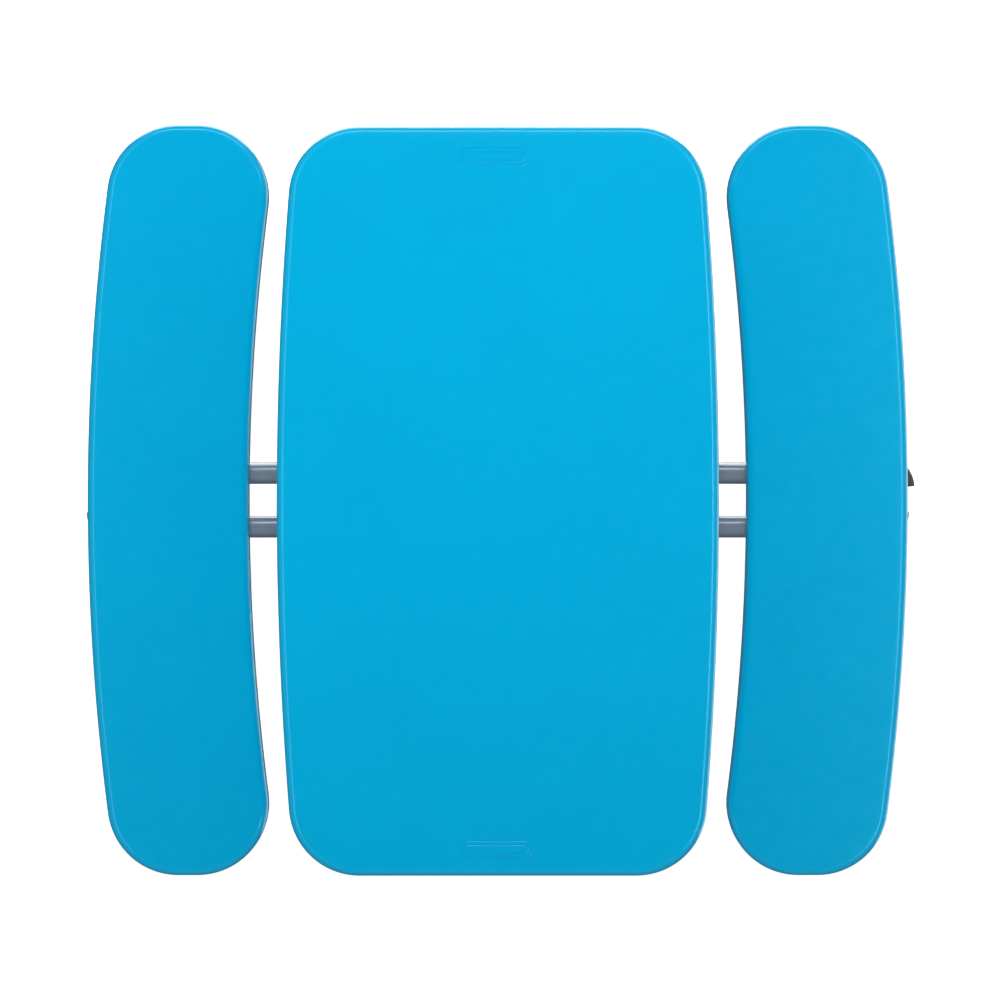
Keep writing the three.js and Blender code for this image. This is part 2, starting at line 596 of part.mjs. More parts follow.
// The hoop's centre line from the top of one upright, down, along the floor and up the other.
function hoopPath() {
  const { halfWidth, bend } = LEG;
  const stations = 7;
  const points = [new THREE.Vector3(0, -halfWidth, 0)];
  for (const side of [-1, 1]) {
    const [cy, cz] = [side * (halfWidth - bend), -legLength + bend];
    for (let i = 0; i <= stations; i++) {
      const turn = (i / stations) * (Math.PI / 2) + (side < 0 ? Math.PI : 1.5 * Math.PI);
      points.push(new THREE.Vector3(0, cy + bend * Math.cos(turn), cz + bend * Math.sin(turn)));
    }
  }
  points.push(new THREE.Vector3(0, halfWidth, 0));
  return points;
}

// The hoop welded to its pivot tube, with a stop that rests under the end bracket when the leg is out.
function legFrame() {
  const { radius, wall } = LEG;
  const bore = solid(bar('y', radius - wall, -LEG_PIVOT - 1, LEG_PIVOT + 1, 0, 0, 24));
  const tube = solid(bar('y', radius, -LEG_PIVOT, LEG_PIVOT, 0, 0, 24));
  const hoop = solid(bentTube(hoopPath(), new THREE.Vector3(1, 0, 0), radius, wall));
  const drain = solid(bar('z', 3, -radius - 1, 0, 0, -LEG.halfWidth, 12));
  const stopTop = plateBottom - FIT - LEG.hingeZ;
  const { start, end, halfWidth, thickness } = STOP;
  const stop = block(start, end, -halfWidth, halfWidth, stopTop - thickness, stopTop).rotateY(legLean);
  return cut(join(hoop, tube, solid(stop)), bore, drain);
}

// A clip-on sole under the foot bar, flat below and open at the top.
function footPad() {
  const inner = LEG.radius + FIT;
  const outer = LEG.footZ;
  const { halfWidth, opening, footTurn } = PAD;
  const shape = new THREE.Shape();
  shape.absarc(0, 0, outer, Math.PI / 2 + opening, Math.PI + footTurn);
  shape.lineTo(-LEG.radius, -outer);
  shape.lineTo(LEG.radius, -outer);
  shape.absarc(0, 0, outer, -footTurn, Math.PI / 2 - opening);
  shape.absarc(0, 0, inner, Math.PI / 2 - opening, -1.5 * Math.PI + opening, true);
  shape.closePath();
  return sideways(shape, -halfWidth, halfWidth, 7);
}

function leg(side) {
  const group = new THREE.Group();
  group.position.set(LEG.hingeX, 0, LEG.hingeZ);
  group.rotation.y = -legLean;
  group.add(named(`${side}_leg`, legFrame(), greySteel));
  for (const [place, end] of [['rear', 1], ['front', -1]]) {
    const cap = plug(LEG.radius, LEG.wall).rotateZ(end * Math.PI / 2).translate(0, end * LEG_PIVOT, 0);
    const pad = named(`${side}_${place}_foot_pad`, footPad(), blackPlastic);
    pad.position.set(0, end * PAD.y, -legLength);
    pad.rotation.y = legLean;
    group.add(named(`${side}_${place}_leg_plug`, cap, blackPlastic), pad);
  }
  return group;
}

// ---------- release handle and lock ----------
const HANDLE_X = BEAM.halfLength + 4.5; // the grip's flat inner face
const GRIP = { x: 425.9, y: 13.7, radius: 35.2, front: 12.9, rear: 44, thickness: 20, edge: 1.5 };
const SPIGOT_START = BEAM.halfLength - 18;
const ROD = { radius: 2.5, start: 98, end: HANDLE_X + 11 };
const KNUCKLE = { x0: 94, x1: 102, halfHeight: 3.5, halfWidth: 3 };
const BLADE = { y0: BEAM.y + 2.4, y1: BEAM.y + 4.8, pinRadius: 2 };
const PAWL = { y: 138.5, hub: 8, thickness: 5.5 };
const SPRING = { coil: 5.4, wire: 0.6, turns: 5, y: -30, length: 12 };

// The pull handle at the rear beam's right end: a rounded grip with a spigot that slides in the tube.
function handle() {
  const { x, y, radius, front, rear, thickness, edge } = GRIP;
  const shape = new THREE.Shape();
  shape.absarc(x, y, radius - edge, 0.09, 0.93);
  shape.lineTo(HANDLE_X + edge, rear);
  shape.lineTo(HANDLE_X + edge, front + edge);
  shape.closePath();
  const body = new THREE.ExtrudeGeometry(shape, {
    depth: thickness - 2 * edge, bevelThickness: edge, bevelSize: edge, bevelSegments: 2, curveSegments: 8,
  }).translate(0, 0, BEAM.z - thickness / 2 + edge);
  const grooves = [-thickness / 4, 0, thickness / 4].map((dz) =>
    solid(new THREE.TorusGeometry(radius, 1, 4, 40).translate(x, y, BEAM.z + dz)));
  const spigot = bar('x', BEAM.radius - BEAM.wall - FIT, SPIGOT_START, HANDLE_X + 3, BEAM.y, BEAM.z);
  const socket = bar('x', ROD.radius + FIT, SPIGOT_START - 1, ROD.end + 1, BEAM.y, BEAM.z, 12);
  return cut(join(solid(body), solid(spigot)), solid(socket), ...grooves);
}

// The rod inside the rear beam, with a sideways blade whose pin works the crank.
function pullRod() {
  const { x0, x1, halfHeight, halfWidth } = KNUCKLE;
  const [low, high] = [BEAM.z - halfHeight, BEAM.z + halfHeight];
  const rod = solid(bar('x', ROD.radius, ROD.start, ROD.end, BEAM.y, BEAM.z, 12));
  const knuckle = solid(block(x0, x1, BEAM.y - halfWidth, BLADE.y1, low, high));
  const blade = solid(block(LOCK.x - 5, x1, BLADE.y0, BLADE.y1, low, high));
  const pin = solid(bar('y', BLADE.pinRadius, BEAM.y - halfWidth, BLADE.y0 + 1, LOCK.x, BEAM.z, 12));
  return join(rod, knuckle, blade, pin);
}

// A hooked plate in the XZ plane that stands behind an outer arm's slide pin.
function pawl() {
  const face = slideX + PIN + FIT;
  const back = face + PAWL.thickness;
  const floor = LOWER_Z - PIN - 1.5;
  const shape = new THREE.Shape();
  shape.absarc(LOCK.x, LOCK.z, PAWL.hub, 0.75 * Math.PI, 1.75 * Math.PI);
  shape.lineTo(back, LOWER_Z - 9);
  shape.lineTo(back, LOWER_Z + 4);
  shape.lineTo(face, LOWER_Z + 4);
  shape.lineTo(face, floor);
  shape.lineTo(slideX - 6, floor);
  shape.closePath();
  return shape;
}

// An upright lever inside the rear beam whose slot follows the rod's pin.
function crank() {
  const web = solid(sideways(slot(LOCK.x, LOCK.z, LOCK.x, LOCK.z + crankLength + 4, 4.6),
    BEAM.y - SHEET / 2, BEAM.y + SHEET / 2));
  const track = slot(LOCK.x, BEAM.z - 0.5, LOCK.x, BEAM.z + 2.5, BLADE.pinRadius + 0.4);
  return cut(web, solid(sideways(track, BEAM.y - SHEET, BEAM.y + SHEET)));
}

function lockBar() {
  const shaft = solid(bar('y', LOCK.radius, -LOCK.halfLength, LOCK.halfLength, LOCK.x, LOCK.z));
  return join(shaft, standing(pawl(), PAWL.y), crank());
}

// A torsion spring wound round the lock bar.
class Coil extends THREE.Curve {
  getPoint(t, target = new THREE.Vector3()) {
    const angle = t * SPRING.turns * 2 * Math.PI;
    const [x, z] = [LOCK.x + SPRING.coil * Math.cos(angle), LOCK.z + SPRING.coil * Math.sin(angle)];
    return target.set(x, SPRING.y + t * SPRING.length, z);
  }
}

function lockSpring() {
  const wire = disc(0, 0, SPRING.wire);
  return new THREE.ExtrudeGeometry(wire, {
    extrudePath: new Coil(), steps: 10 * SPRING.turns, bevelEnabled: false, curveSegments: 2,
  });
}

// ---------- assembly ----------
function baseFrame() {
  const group = new THREE.Group();
  const left = new THREE.Group();
  left.scale.x = -1;
  left.add(benchEnd('left'), named('left_leg_clip', legClip(), blackPlastic));
  group.add(left, benchEnd('right'), named('right_leg_clip', legClip(), blackPlastic));
  group.add(named('front_beam', frontBeam(), greySteel), named('rear_beam', rearBeam(), greySteel));
  group.add(...beamPlugs(), ...oneEach('beam_rivet', beamRivets, beamRivet, zincSteel));
  group.add(named('scissor_pivot_bracket', pivotBracket(), greySteel));
  group.add(named('slide_tray', slideTray(), greySteel));
  const armPin = acrossAt(rivet(110 - FIT, ARM.innerY + ARM.thickness + FIT, PIN, 7), FIXED_X, LOWER_Z);
  group.add(...frontAndRear('arm_pivot_pin', solid(armPin), zincSteel));
  return group;
}

function legs() {
  const left = new THREE.Group();
  left.scale.x = -1;
  left.add(leg('left'));
  return [left, leg('right')];
}

function lock() {
  return [
    named('release_handle', handle(), blackPlastic),
    named('pull_rod', pullRod(), zincSteel),
    named('lock_bar', lockBar(), zincSteel),
    named('lock_spring', lockSpring(), zincSteel),
  ];
}

const table = new THREE.Group();
table.add(baseFrame(), ...legs(), innerArms(), outerArms(), tableTop(), ...lock());

export default table;
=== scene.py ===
"""The looks of a children's folding picnic table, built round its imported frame. Metres, +Z up."""

import json
import math

import bmesh
import bpy
from mathutils import Matrix, Vector


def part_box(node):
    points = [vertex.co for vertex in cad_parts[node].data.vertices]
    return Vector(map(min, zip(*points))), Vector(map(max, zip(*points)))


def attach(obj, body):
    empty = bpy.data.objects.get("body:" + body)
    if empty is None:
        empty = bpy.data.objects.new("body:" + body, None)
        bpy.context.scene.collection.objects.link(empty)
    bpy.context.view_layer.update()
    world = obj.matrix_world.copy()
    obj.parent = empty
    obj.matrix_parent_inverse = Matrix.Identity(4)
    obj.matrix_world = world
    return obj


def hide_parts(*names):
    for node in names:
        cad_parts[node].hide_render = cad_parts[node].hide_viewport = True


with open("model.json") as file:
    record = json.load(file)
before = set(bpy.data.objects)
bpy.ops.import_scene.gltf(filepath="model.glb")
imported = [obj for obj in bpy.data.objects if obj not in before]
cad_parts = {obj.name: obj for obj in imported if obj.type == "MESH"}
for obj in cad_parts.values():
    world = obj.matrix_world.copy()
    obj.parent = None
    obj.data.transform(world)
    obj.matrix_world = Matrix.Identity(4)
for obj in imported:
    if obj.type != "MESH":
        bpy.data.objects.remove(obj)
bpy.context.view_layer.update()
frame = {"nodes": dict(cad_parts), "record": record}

# ---------- sizes shared with the frame ----------
TABLE = {"half_length": 0.391, "half_width": 0.231, "bow": 4.100, "corner": 0.074}
BENCH = {"half_length": 0.412, "middle": 0.362, "half_width": 0.0885, "bow": 2.600, "corner": 0.078}
RIM = 0.020  # width of the border round the recess under the table top
RECESS_DEPTH = 0.020
LEG_TOP = Vector((0.385, 0.0, 0.221))  # on the axis of the right leg's pivot tube
LEG_FOOT = Vector((0.435, 0.0, 0.014))  # on the axis of the right leg's floor rail
LEG_HALF_WIDTH = 0.290
TUBE = 0.011  # radius of a leg's tubes

# ---------- sizes of the finer shapes ----------
UPPER_EDGE = 0.008  # rounding of a panel's upper rim
LOWER_EDGE = 0.006  # rounding of a panel's lower rim
DRAFT = 0.0003  # how far a side wall leans in below its seam
HOLDING_INSET = 0.014  # a ring on the flat faces that keeps the rim's shading off them
BOW_STEPS = 40
CORNER_STEPS = 24
PANEL_SHARP_ANGLE = 40  # degrees

DIMPLE_RADIUS = 0.0115
DIMPLE_SIDES = 20
TABLE_DIMPLES = {"pitch": 0.052, "columns": 3, "rows": 6, "depth": 0.0105}
BENCH_DIMPLES = {"pitch": 0.050, "rows": 7, "offsets": (-0.038, 0.0, 0.038), "depth": 0.024}

GROOVE_PLACES = ((-0.004, 0.359), (-0.002, -0.363))
GROOVE_OVALS = ((0.038, 0.0088), (0.0335, 0.0043))  # half length and end radius of each oval
GROOVE_RADIUS = 0.0009
GROOVE_LIFT = 0.0002  # how far a groove's centre is above the surface

WELD_RADIUS = 0.0019
WELD_RIPPLE = 0.00025  # how much the bead's radius swings
WELD_RIPPLE_STEP = 2.6  # radians of ripple from one station to the next
WELD_STANDOFF = 0.0005  # from the upright's surface to the bead's middle line
WELD_DROP = 0.0006  # from the curve where the tubes cross to the bead's middle line
WELD_STATIONS = 72

SCREW_HEAD = 0.0026  # height of a pan head
SCREW_SIDES = 32
SCREW_NAMES = ("left_bench_screw", "right_bench_screw", "table_screw")

SPRING_COIL = 0.0054  # radius to the wire's axis
SPRING_WIRE = 0.0006  # radius of the wire
SPRING_TURNS = 5
SPRING_STEPS = 28  # stations in each turn
SPRING_CLEARANCE = 0.0001  # from the wire to each end of the plain spring that it replaces

ROUND_SIDES = 8  # sides of a wire, a bead or a groove


# ---------- outlines ----------
def arc(x, y, radius, start, end, steps):
    """Points along an arc, both ends included."""
    turns = [start + (end - start) * i / steps for i in range(steps + 1)]
    return [(x + radius * math.cos(a), y + radius * math.sin(a)) for a in turns]


def table_outline(inset):
    """The table top's outline, counter-clockwise, drawn in by inset."""
    centre = TABLE["half_width"] - TABLE["bow"]
    y = TABLE["half_length"] - TABLE["corner"]
    x = centre + math.sqrt((TABLE["bow"] - TABLE["corner"]) ** 2 - y**2)
    turn = math.atan2(y, x - centre)
    side, corner = TABLE["bow"] - inset, TABLE["corner"] - inset
    return (
        arc(centre, 0, side, -turn, turn, BOW_STEPS)
        + arc(x, y, corner, turn, math.pi / 2, CORNER_STEPS)[1:]
        + arc(-x, y, corner, math.pi / 2, math.pi - turn, CORNER_STEPS)
        + arc(-centre, 0, side, math.pi - turn, math.pi + turn, BOW_STEPS)[1:]
        + arc(-x, -y, corner, math.pi + turn, 1.5 * math.pi, CORNER_STEPS)[1:]
        + arc(x, -y, corner, 1.5 * math.pi, 2 * math.pi - turn, CORNER_STEPS)[:-1]
    )


def bench_outline(inset, side):
    """A bench's outline, counter-clockwise, drawn in by inset. Side is 1 on the right, -1 on the left."""
    bow, half, corner = BENCH["bow"], BENCH["half_width"], BENCH["corner"]
    centre = BENCH["middle"] - bow
    y = BENCH["half_length"] - corner
    outer_x = centre + math.sqrt((bow + half - corner) ** 2 - y**2)
    inner_x = centre + math.sqrt((bow - half + corner) ** 2 - y**2)
    outer_turn = math.atan2(y, outer_x - centre)
    inner_turn = math.atan2(y, inner_x - centre)
    r = corner - inset
    points = (
        arc(centre, 0, bow + half - inset, -outer_turn, outer_turn, BOW_STEPS)
        + arc(outer_x, y, r, outer_turn, math.pi / 2, CORNER_STEPS)[1:]
        + arc(inner_x, y, r, math.pi / 2, math.pi + inner_turn, CORNER_STEPS)
        + arc(centre, 0, bow - half + inset, inner_turn, -inner_turn, BOW_STEPS)[1:]
        + arc(inner_x, -y, r, math.pi - inner_turn, 1.5 * math.pi, CORNER_STEPS)[1:]
        + arc(outer_x, -y, r, 1.5 * math.pi, 2 * math.pi - outer_turn, CORNER_STEPS)[:-1]
    )
    if side < 0:
        points = [(-px, py) for px, py in reversed(points)]
    return points


def fillet(inset, z, radius, start, end, steps):
    """Stations round a fillet centred at (inset, z). An angle of 0 degrees faces out, and 90 up."""
    turns = [math.radians(start + (end - start) * i / steps) for i in range(steps + 1)]
    return [(inset - radius * math.cos(a), z + radius * math.sin(a)) for a in turns]


# ---------- mesh building ----------
def new_object(name, bm):
    """A mesh object made from bm, with its faces turned outwards."""
    bmesh.ops.recalc_face_normals(bm, faces=bm.faces)
    mesh = bpy.data.meshes.new(name)
    bm.to_mesh(mesh)
    bm.free()
    made = bpy.data.objects.new(name, mesh)
    bpy.context.collection.objects.link(made)
    return made


def bridge(bm, lower, upper):
    """Joins two rings of equally many vertices with quads."""
    for i, vertex in enumerate(lower):
        after = (i + 1) % len(lower)
        bm.faces.new((vertex, lower[after], upper[after], upper[i]))


def slab(name, outline, profile):
    """A closed panel with a ring at each (inset, z) of the profile, which runs from top to bottom."""
    bm = bmesh.new()
    rings = [[bm.verts.new((x, y, z)) for x, y in outline(inset)] for inset, z in profile]
    for before, after in zip(rings, rings[1:]):
        bridge(bm, before, after)
    bm.faces.new(rings[0])
    bm.faces.new(reversed(rings[-1]))
    return new_object(name, bm)


def add_turned(bm, profile, matrix, sides):
    """Adds a piece turned on Z from (radius, z) stations to bm. It is closed at both ends."""
    turns = [2 * math.pi * i / sides for i in range(sides)]
    rings = []
    for radius, z in profile:
        ring = [Vector((radius * math.cos(a), radius * math.sin(a), z)) for a in turns]
        rings.append([bm.verts.new(matrix @ point) for point in ring])
    for before, after in zip(rings, rings[1:]):
        bridge(bm, before, after)
    bm.faces.new(rings[0])
    bm.faces.new(reversed(rings[-1]))


def add_sweep(bm, points, radius, closed=False):
    """Adds a round rod along points to bm. Its radius is a number or a function of the station."""
    points = [Vector(p) for p in points]
    count = len(points)
    turns = [2 * math.pi * k / ROUND_SIDES for k in range(ROUND_SIDES)]
    rings = []
    normal = None
    for i, point in enumerate(points):
        ahead = points[(i + 1) % count] if closed or i < count - 1 else point
        behind = points[i - 1] if closed or i > 0 else point
        tangent = (ahead - behind).normalized()
        if normal is None:
            normal = tangent.orthogonal()
        normal = (normal - tangent * normal.dot(tangent)).normalized()
        across = tangent.cross(normal)
        size = radius(i) if callable(radius) else radius
        spokes = [normal * math.cos(a) + across * math.sin(a) for a in turns]
        rings.append([bm.verts.new(point + spoke * size) for spoke in spokes])
    for before, after in zip(rings, rings[1:]):
        bridge(bm, before, after)
    if closed:
        bridge(bm, rings[-1], rings[0])
    else:
        bm.faces.new(rings[0])
        bm.faces.new(reversed(rings[-1]))


def carve(piece, cutter):
    """Cuts one object out of another and removes the cutter."""
    modifier = piece.modifiers.new("carve", "BOOLEAN")
    modifier.operation = "DIFFERENCE"
    modifier.solver = "EXACT"
    modifier.object = cutter
    evaluated = piece.evaluated_get(bpy.context.evaluated_depsgraph_get())
    cut = bpy.data.meshes.new_from_object(evaluated)
    if not cut.polygons:
        raise RuntimeError(f"cutting {piece.name} left nothing")
    piece.modifiers.clear()
    piece.data = cut
    bpy.data.objects.remove(cutter)


def soften(piece, angle):
    """Smooth shading, led by the big faces, that keeps edges sharper than the angle in degrees."""
    mesh = piece.data
    mesh.shade_smooth()
    mesh.set_sharp_from_angle(angle=math.radians(angle))
    weighted = piece.modifiers.new("normals", "WEIGHTED_NORMAL")
    weighted.keep_sharp = True


def dress(piece, material):
    """Gives a piece one material all over."""
    piece.data.materials.clear()
    piece.data.materials.append(material)


# ---------- materials ----------
MIX_COLOUR_INPUTS = (6, 7)  # by number, because the mix node's sockets of other types have the same names
MIX_COLOUR_OUTPUT = 2


class Shader:
    """A principled material with helpers for the procedural textures round it."""

    def __init__(self, name):
        self.material = bpy.data.materials.new(name)
        self.material.use_nodes = True
        self.nodes = self.material.node_tree.nodes
        self.links = self.material.node_tree.links
        self.bsdf = self.nodes["Principled BSDF"]
        self.place = self.nodes.new("ShaderNodeTexCoord").outputs["Object"]

    def link(self, source, target):
        """Joins an output socket to an input socket."""
        self.links.new(source, target)

    def noise(self, scale, detail=3.0, roughness=0.55, stretch=None):
        """A noise texture's strength, stretched along the axes where stretch is below 1."""
        place = self.place
        if stretch:
            mapping = self.nodes.new("ShaderNodeMapping")
            mapping.inputs["Scale"].default_value = stretch
            self.link(place, mapping.inputs["Vector"])
            place = mapping.outputs["Vector"]
        node = self.nodes.new("ShaderNodeTexNoise")
        node.inputs["Scale"].default_value = scale
        node.inputs["Detail"].default_value = detail
        node.inputs["Roughness"].default_value = roughness
        self.link(place, node.inputs["Vector"])
        return node.outputs["Fac"]

    def cells(self, scale):
        """A pattern of cells, each of one random colour."""
        node = self.nodes.new("ShaderNodeTexVoronoi")
        node.inputs["Scale"].default_value = scale
        self.link(self.place, node.inputs["Vector"])
        return node.outputs["Color"]

    def spread(self, source, low, high, start=0.3, end=0.7):
        """Maps a texture's values between start and end onto numbers from low to high."""
        node = self.nodes.new("ShaderNodeMapRange")
        node.inputs["From Min"].default_value = start
        node.inputs["From Max"].default_value = end
        node.inputs["To Min"].default_value = low
        node.inputs["To Max"].default_value = high
        self.link(source, node.inputs["Value"])
        return node.outputs["Result"]

    def mix(self, factor, a, b):
        """Mixes two colours, each a colour or another node's output."""
        node = self.nodes.new("ShaderNodeMix")
        node.data_type = "RGBA"
        self.link(factor, node.inputs["Factor"])
        for value, index in zip((a, b), MIX_COLOUR_INPUTS):
            socket = node.inputs[index]
            if isinstance(value, tuple):
                socket.default_value = (*value, 1.0)
            else:
                self.link(value, socket)
        return node.outputs[MIX_COLOUR_OUTPUT]

    def bump(self, height, distance, strength, under=None):
        """A bumped normal, on top of another bump where one is given as under."""
        node = self.nodes.new("ShaderNodeBump")
        node.inputs["Strength"].default_value = strength
        node.inputs["Distance"].default_value = distance
        self.link(height, node.inputs["Height"])
        if under:
            self.link(under, node.inputs["Normal"])
        return node.outputs["Normal"]

    def finish(self, colour, roughness, normal, metallic=0.0, specular=0.5, tint=(1.0, 1.0, 1.0)):
        """Wires the textures into the shader and returns the material."""
        self.link(colour, self.bsdf.inputs["Base Color"])
        self.link(roughness, self.bsdf.inputs["Roughness"])
        self.link(normal, self.bsdf.inputs["Normal"])
        self.bsdf.inputs["Metallic"].default_value = metallic
        self.bsdf.inputs["Specular IOR Level"].default_value = specular
        self.bsdf.inputs["Specular Tint"].default_value = (*tint, 1.0)
        return self.material


def blue_hdpe():
    """Blow-moulded polyethylene: an even bright blue, finely pebbled, with slow waves from the mould."""
    s = Shader("blue_hdpe")
    cloud = s.spread(s.noise(7, detail=2), 0, 1)
    colour = s.mix(cloud, (0.0, 0.410, 0.720), (0.0, 0.425, 0.742))
    fleck = s.spread(s.noise(420, detail=2), 0, 0.35, start=0.62, end=0.8)
    colour = s.mix(fleck, colour, (0.0, 0.370, 0.655))
    rough = s.spread(s.noise(60, detail=4), 0.15, 0.21)
    waves = s.bump(s.noise(9, detail=1), 0.0008, 0.25)
    pebbles = s.bump(s.noise(900, detail=2), 0.00005, 0.6, under=waves)
    scratches = s.noise(90, detail=6, roughness=0.7, stretch=(1.0, 0.06, 1.0))
    scuffs = s.bump(scratches, 0.00003, 0.3, under=pebbles)
    return s.finish(colour, rough, scuffs, tint=(0.42, 0.85, 1.0))


def grey_powder():
    """Silver-grey powder coat over steel, with its pebbled skin and a little dust in it."""
    s = Shader("grey_powder")
    speck = s.spread(s.noise(1500, detail=2), 0, 1, start=0.35, end=0.65)
    colour = s.mix(speck, (0.205, 0.260, 0.325), (0.250, 0.312, 0.382))
    dust = s.spread(s.noise(18, detail=5), 0, 0.3, start=0.45, end=0.8)
    colour = s.mix(dust, colour, (0.27, 0.32, 0.36))
    rough = s.spread(s.noise(45, detail=4), 0.15, 0.24)
    skin = s.bump(s.noise(700, detail=2), 0.00002, 0.5)
    return s.finish(colour, rough, skin, metallic=0.15)


def black_plastic():
    """Moulded black plastic with a fine spark-eroded grain, greyer where it is handled."""
    s = Shader("black_plastic")
    worn = s.spread(s.noise(35, detail=5), 0, 1, start=0.4, end=0.75)
    colour = s.mix(worn, (0.018, 0.020, 0.023), (0.034, 0.037, 0.042))
    rough = s.spread(s.noise(80, detail=4), 0.36, 0.55)
    grain = s.bump(s.noise(1400, detail=2), 0.00008, 0.8)
    return s.finish(colour, rough, grain)


def zinc():
    """Bright zinc plating with a faint spangle and fine draw marks."""
    s = Shader("zinc")
    spangle = s.spread(s.cells(260), 0, 1, start=0.2, end=0.8)
    colour = s.mix(spangle, (0.52, 0.53, 0.54), (0.66, 0.66, 0.65))
    rough = s.spread(s.noise(150, detail=4), 0.22, 0.42)
    marks = s.bump(s.noise(500, roughness=0.6, stretch=(1.0, 0.1, 1.0)), 0.00004, 0.6)
    return s.finish(colour, rough, marks, metallic=1.0)


MATERIALS = {
    "blue_hdpe": blue_hdpe(),
    "grey_steel": grey_powder(),
    "black_plastic": black_plastic(),
    "zinc_steel": zinc(),
}
SLOT_OF = {part["node"]: part["material_slot"] for part in frame["record"]["subparts"]}


def add_piece(piece, slot, body, *nodes):
    """Dresses a new piece, hangs it on a body and lets it stand for the CAD nodes named."""
    dress(piece, MATERIALS[slot])
    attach(piece, body)
    if nodes:
        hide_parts(*nodes)


# ---------- panels ----------
def dimples(places, z, depth):
    """A cutter for tapered dimples with soft mouths, rising from height z at each (x, y)."""
    mouth = [
        (DIMPLE_RADIUS + 0.0016, -0.0010),
        (DIMPLE_RADIUS + 0.0012, 0.0),
        (DIMPLE_RADIUS + 0.0004, 0.0004),
        (DIMPLE_RADIUS, 0.0012),
    ]
    closed_end = [
        (DIMPLE_RADIUS - 0.0022, depth - 0.0022),
        (DIMPLE_RADIUS - 0.0032, depth - 0.0008),
        (DIMPLE_RADIUS - 0.0050, depth),
    ]
    bm = bmesh.new()
    for x, y in places:
        add_turned(bm, mouth + closed_end, Matrix.Translation((x, y, z)), DIMPLE_SIDES)
    return new_object("dimple_cutter", bm)


def stadium(half_length, radius):
    """A closed loop with straight sides along X and round ends."""
    steps = 14
    right = arc(half_length - radius, 0, radius, -math.pi / 2, math.pi / 2, steps)
    left = arc(radius - half_length, 0, radius, math.pi / 2, 1.5 * math.pi, steps)
    return right + left


def groove_cutter(x, y, z):
    """A cutter for two plain oval grooves, one inside the other."""
    bm = bmesh.new()
    for half_length, radius in GROOVE_OVALS:
        loop = [(x + px, y + py, z + GROOVE_LIFT) for px, py in stadium(half_length, radius)]
        add_sweep(bm, loop, GROOVE_RADIUS, closed=True)
    return new_object("groove_cutter", bm)


def side_wall(top, bottom):
    """A panel's rim from its flat top to its underside, with a faint mould seam half-way down."""
    seam_height = (top + bottom) / 2 - 0.002
    seam = [
        (0.0001, seam_height + 0.004),
        (0.0004, seam_height + 0.0008),
        (0.0, seam_height),
        (0.0004, seam_height - 0.0008),
        (DRAFT, seam_height - 0.004),
    ]
    return (
        fillet(UPPER_EDGE, top - UPPER_EDGE, UPPER_EDGE, 90, 8, 8)
        + seam
        + fillet(LOWER_EDGE + DRAFT, bottom + LOWER_EDGE, LOWER_EDGE, -6, -90, 6)
    )


def near_bracket(x, y):
    """Whether a dimple at (x, y) would run under the brackets or the vent in the recess."""
    slide = 0.065 < x and abs(y) < 0.13
    pivot = x < -0.145 and abs(y) < 0.15
    vent = abs(x) < 0.02 and abs(y - 0.2) < 0.02
    return slide or pivot or vent


def table_top():
    """The table top, with a recess and dimples below and an oval double groove at each end above."""
    middle_inset, ceiling_inset = 0.050, 0.034  # the innermost rings of the top and of the recess
    mouth_edge = 0.0015  # rounding of the recess's mouth
    low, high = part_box("table_top")
    top, bottom = high[2], low[2]
    ceiling = bottom + RECESS_DEPTH
    recess = fillet(RIM - mouth_edge, bottom + mouth_edge, mouth_edge, 270, 180, 3) + [
        (RIM + 0.0001, bottom + 0.0170),
        (RIM + 0.0006, ceiling - 0.0006),
        (RIM + 0.0018, ceiling),
        (ceiling_inset, ceiling),
    ]
    profile = [(middle_inset, top), (HOLDING_INSET, top)] + side_wall(top, bottom) + recess
    panel = slab("table_top_panel", table_outline, profile)
    for x, y in GROOVE_PLACES:
        carve(panel, groove_cutter(x, y, top))
    pitch, rows, columns = (TABLE_DIMPLES[key] for key in ("pitch", "rows", "columns"))
    grid = [(pitch * i, pitch * j) for i in range(-columns, columns + 1) for j in range(-rows, rows + 1)]
    places = [(x, y) for x, y in grid if not near_bracket(x, y)]
    carve(panel, dimples(places, ceiling, TABLE_DIMPLES["depth"]))
    soften(panel, PANEL_SHARP_ANGLE)
    add_piece(panel, "blue_hdpe", "top", "table_top")


def near_leg_parts(y):
    """Whether a bench's dimple at y would run into the end bracket or a saddle."""
    return abs(y) <= 0.06 or 0.19 < abs(y) < 0.24


def bench(name, side):
    """A bench, with rows of dimples below. Side is 1 on the right, -1 on the left."""
    middle_inset = 0.045  # the innermost ring of the top and of the underside
    low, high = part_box(name)
    top, bottom = high[2], low[2]
    upper_face = [(middle_inset, top), (HOLDING_INSET, top)]
    lower_face = [(HOLDING_INSET, bottom), (middle_inset, bottom)]
    profile = upper_face + side_wall(top, bottom) + lower_face
    panel = slab(f"{name}_panel", lambda inset: bench_outline(inset, side), profile)
    centre = BENCH["middle"] - BENCH["bow"]
    rows = BENCH_DIMPLES["rows"]
    places = []
    for y in [BENCH_DIMPLES["pitch"] * i for i in range(-rows, rows + 1)]:
        if near_leg_parts(y):
            continue
        for offset in BENCH_DIMPLES["offsets"]:
            x = centre + math.sqrt((BENCH["bow"] + offset) ** 2 - y**2)
            places.append((side * x, y))
    carve(panel, dimples(places, bottom, BENCH_DIMPLES["depth"]))
    soften(panel, PANEL_SHARP_ANGLE)
    add_piece(panel, "blue_hdpe", "base", name)


table_top()
bench("right_bench", 1)
bench("left_bench", -1)


